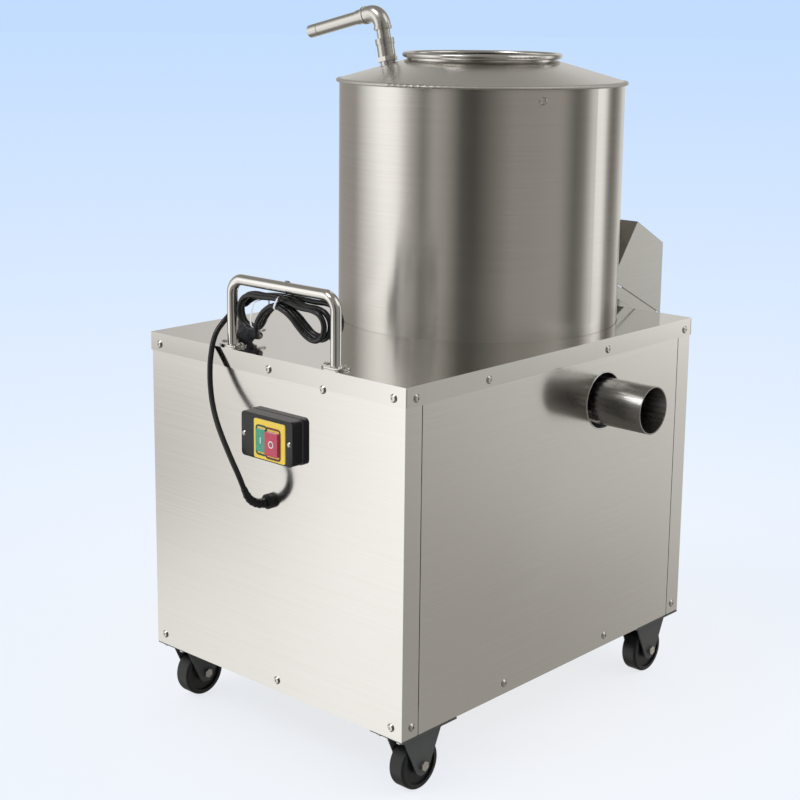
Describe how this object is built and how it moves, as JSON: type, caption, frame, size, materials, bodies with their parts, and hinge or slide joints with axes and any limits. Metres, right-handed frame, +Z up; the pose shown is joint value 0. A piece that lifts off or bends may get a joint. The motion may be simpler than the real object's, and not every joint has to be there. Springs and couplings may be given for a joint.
{
  "type": "electric potato peeler",
  "caption": "Floor-standing electric potato peeler: steel drum on a square cabinet with casters, push handle, side drain, rear chute and water inlet.",
  "frame": {"origin": "on the floor, under the middle of the machine's box without its cord", "axes": "+Z up; -Y faces the switch and handle, +X the drain pipe, +Y the discharge chute"},
  "size_m": [0.6486, 0.865, 1.0864],
  "materials": {
    "frame_steel": "grey primer, satin",
    "cabinet_stainless": "fine brushed, bright",
    "drum_stainless": "brushed along the roll",
    "plain_stainless": "mill finish",
    "bright_tube": "polished tube",
    "water_fittings": "cast and turned stainless",
    "fasteners": "zinc plated",
    "fork_paint": "dark grey paint, satin",
    "wheel_rubber": "black rubber, satin",
    "abrasive": "silicon carbide grit",
    "cast_disc": "cast",
    "cast_iron": "painted casting",
    "bearing_steel": "ground steel",
    "seal_rubber": "black rubber",
    "motor_paint": "blue grey enamel",
    "fan_plastic": "black moulded",
    "switch_plastic": "black moulded",
    "switch_yellow": "yellow label plate",
    "start_green": "green moulded",
    "stop_red": "red moulded",
    "cord_rubber": "black rubber sheath",
    "tie_plastic": "white plastic"
  },
  "bodies": {
    "machine": {"lower_frame": "frame_steel", "middle_frame": "frame_steel", "upper_frame": "frame_steel", "corner_posts": "frame_steel", "motor_plate": "frame_steel", "front_panel": "cabinet_stainless", "rear_panel": "cabinet_stainless", "drain_side_panel": "cabinet_stainless", "plain_side_panel": "cabinet_stainless", "top_cover": "cabinet_stainless", "drum_shell": "drum_stainless", "feed_cover": "drum_stainless", "discharge_trough": "drum_stainless", "discharge_hood": "drum_stainless", "chamber_floor": "plain_stainless", "drain_pipe": "plain_stainless", "gate_rails": "plain_stainless", "push_handle": "bright_tube", "inlet_boss": "water_fittings", "inlet_nipple": "water_fittings", "inlet_elbow": "water_fittings", "inlet_spout": "water_fittings", "machine_screws": "fasteners", "hex_bolts": "fasteners", "caster_axles": "fasteners", "caster_forks": "fork_paint", "drum_liner": "abrasive", "bearing_housing": "cast_iron", "shaft_bearings": "bearing_steel", "shaft_seal": "seal_rubber", "v_belts": "seal_rubber", "inner_cables": "seal_rubber", "cable_gland": "seal_rubber", "motor_body": "motor_paint", "fan_cowl": "motor_paint", "terminal_box": "motor_paint", "switch_base": "switch_plastic", "switch_cover": "switch_plastic", "switch_plate": "switch_yellow", "power_cord_lead": "cord_rubber", "power_cord_hank": "cord_rubber", "mains_plug": "cord_rubber", "cord_ties": "tie_plastic"},
    "disc_drive": {"main_shaft": "bearing_steel", "peeling_disc": "cast_disc", "disc_abrasive": "abrasive", "shaft_nuts": "fasteners", "peel_sweeper": "plain_stainless", "large_pulley": "cast_iron"},
    "motor_drive": {"motor_rotor": "bearing_steel", "motor_fan": "fan_plastic", "small_pulley": "cast_iron"},
    "start_key": {"start_button": "start_green"},
    "stop_key": {"stop_button": "stop_red"},
    "gate": {"discharge_gate": "plain_stainless"},
    "clamp": {"gate_knob": "fan_plastic"},
    "front_right_roller": {"front_right_wheel": "wheel_rubber"},
    "front_left_roller": {"front_left_wheel": "wheel_rubber"},
    "rear_right_roller": {"rear_right_wheel": "wheel_rubber"},
    "rear_left_roller": {"rear_left_wheel": "wheel_rubber"}
  },
  "joints": [
    {"name": "disc_spin", "type": "hinge", "parent": "machine", "child": "disc_drive", "pos_m": [-0.02565, 0.07125, 0.5], "axis": [0, 0, 1], "continuous": true},
    {"name": "motor_spin", "type": "hinge", "parent": "machine", "child": "motor_drive", "pos_m": [-0.02565, -0.25575, 0.3], "axis": [0, 0, 1], "continuous": true},
    {"name": "start_press", "type": "slide", "parent": "machine", "child": "start_key", "axis": [0, 1, 0], "range_m": [0, 0.004], "stiffness_N_per_m": 300, "springref_m": -0.003},
    {"name": "stop_press", "type": "slide", "parent": "machine", "child": "stop_key", "axis": [0, 1, 0], "range_m": [0, 0.004], "stiffness_N_per_m": 300, "springref_m": -0.003},
    {"name": "gate_lift", "type": "slide", "parent": "machine", "child": "gate", "axis": [0, 0, 1], "range_m": [0, 0.105]},
    {"name": "clamp_turn", "type": "hinge", "parent": "machine", "child": "clamp", "pos_m": [-0.11882, 0.28153, 0.745], "axis": [-0.4051, 0.9143, 0], "range_deg": [0, 270]},
    {"name": "front_right_roll", "type": "hinge", "parent": "machine", "child": "front_right_roller", "pos_m": [0.20485, -0.32975, 0.0375], "axis": [1, 0, 0], "continuous": true},
    {"name": "front_left_roll", "type": "hinge", "parent": "machine", "child": "front_left_roller", "pos_m": [-0.25615, -0.32975, 0.0375], "axis": [1, 0, 0], "continuous": true},
    {"name": "rear_right_roll", "type": "hinge", "parent": "machine", "child": "rear_right_roller", "pos_m": [0.20485, 0.24025, 0.0375], "axis": [1, 0, 0], "continuous": true},
    {"name": "rear_left_roll", "type": "hinge", "parent": "machine", "child": "rear_left_roller", "pos_m": [-0.25615, 0.24025, 0.0375], "axis": [1, 0, 0], "continuous": true}
  ],
  "couplings": [
    {"joint": "motor_spin", "follows": "disc_spin", "ratio": 4.5455}
  ]
}
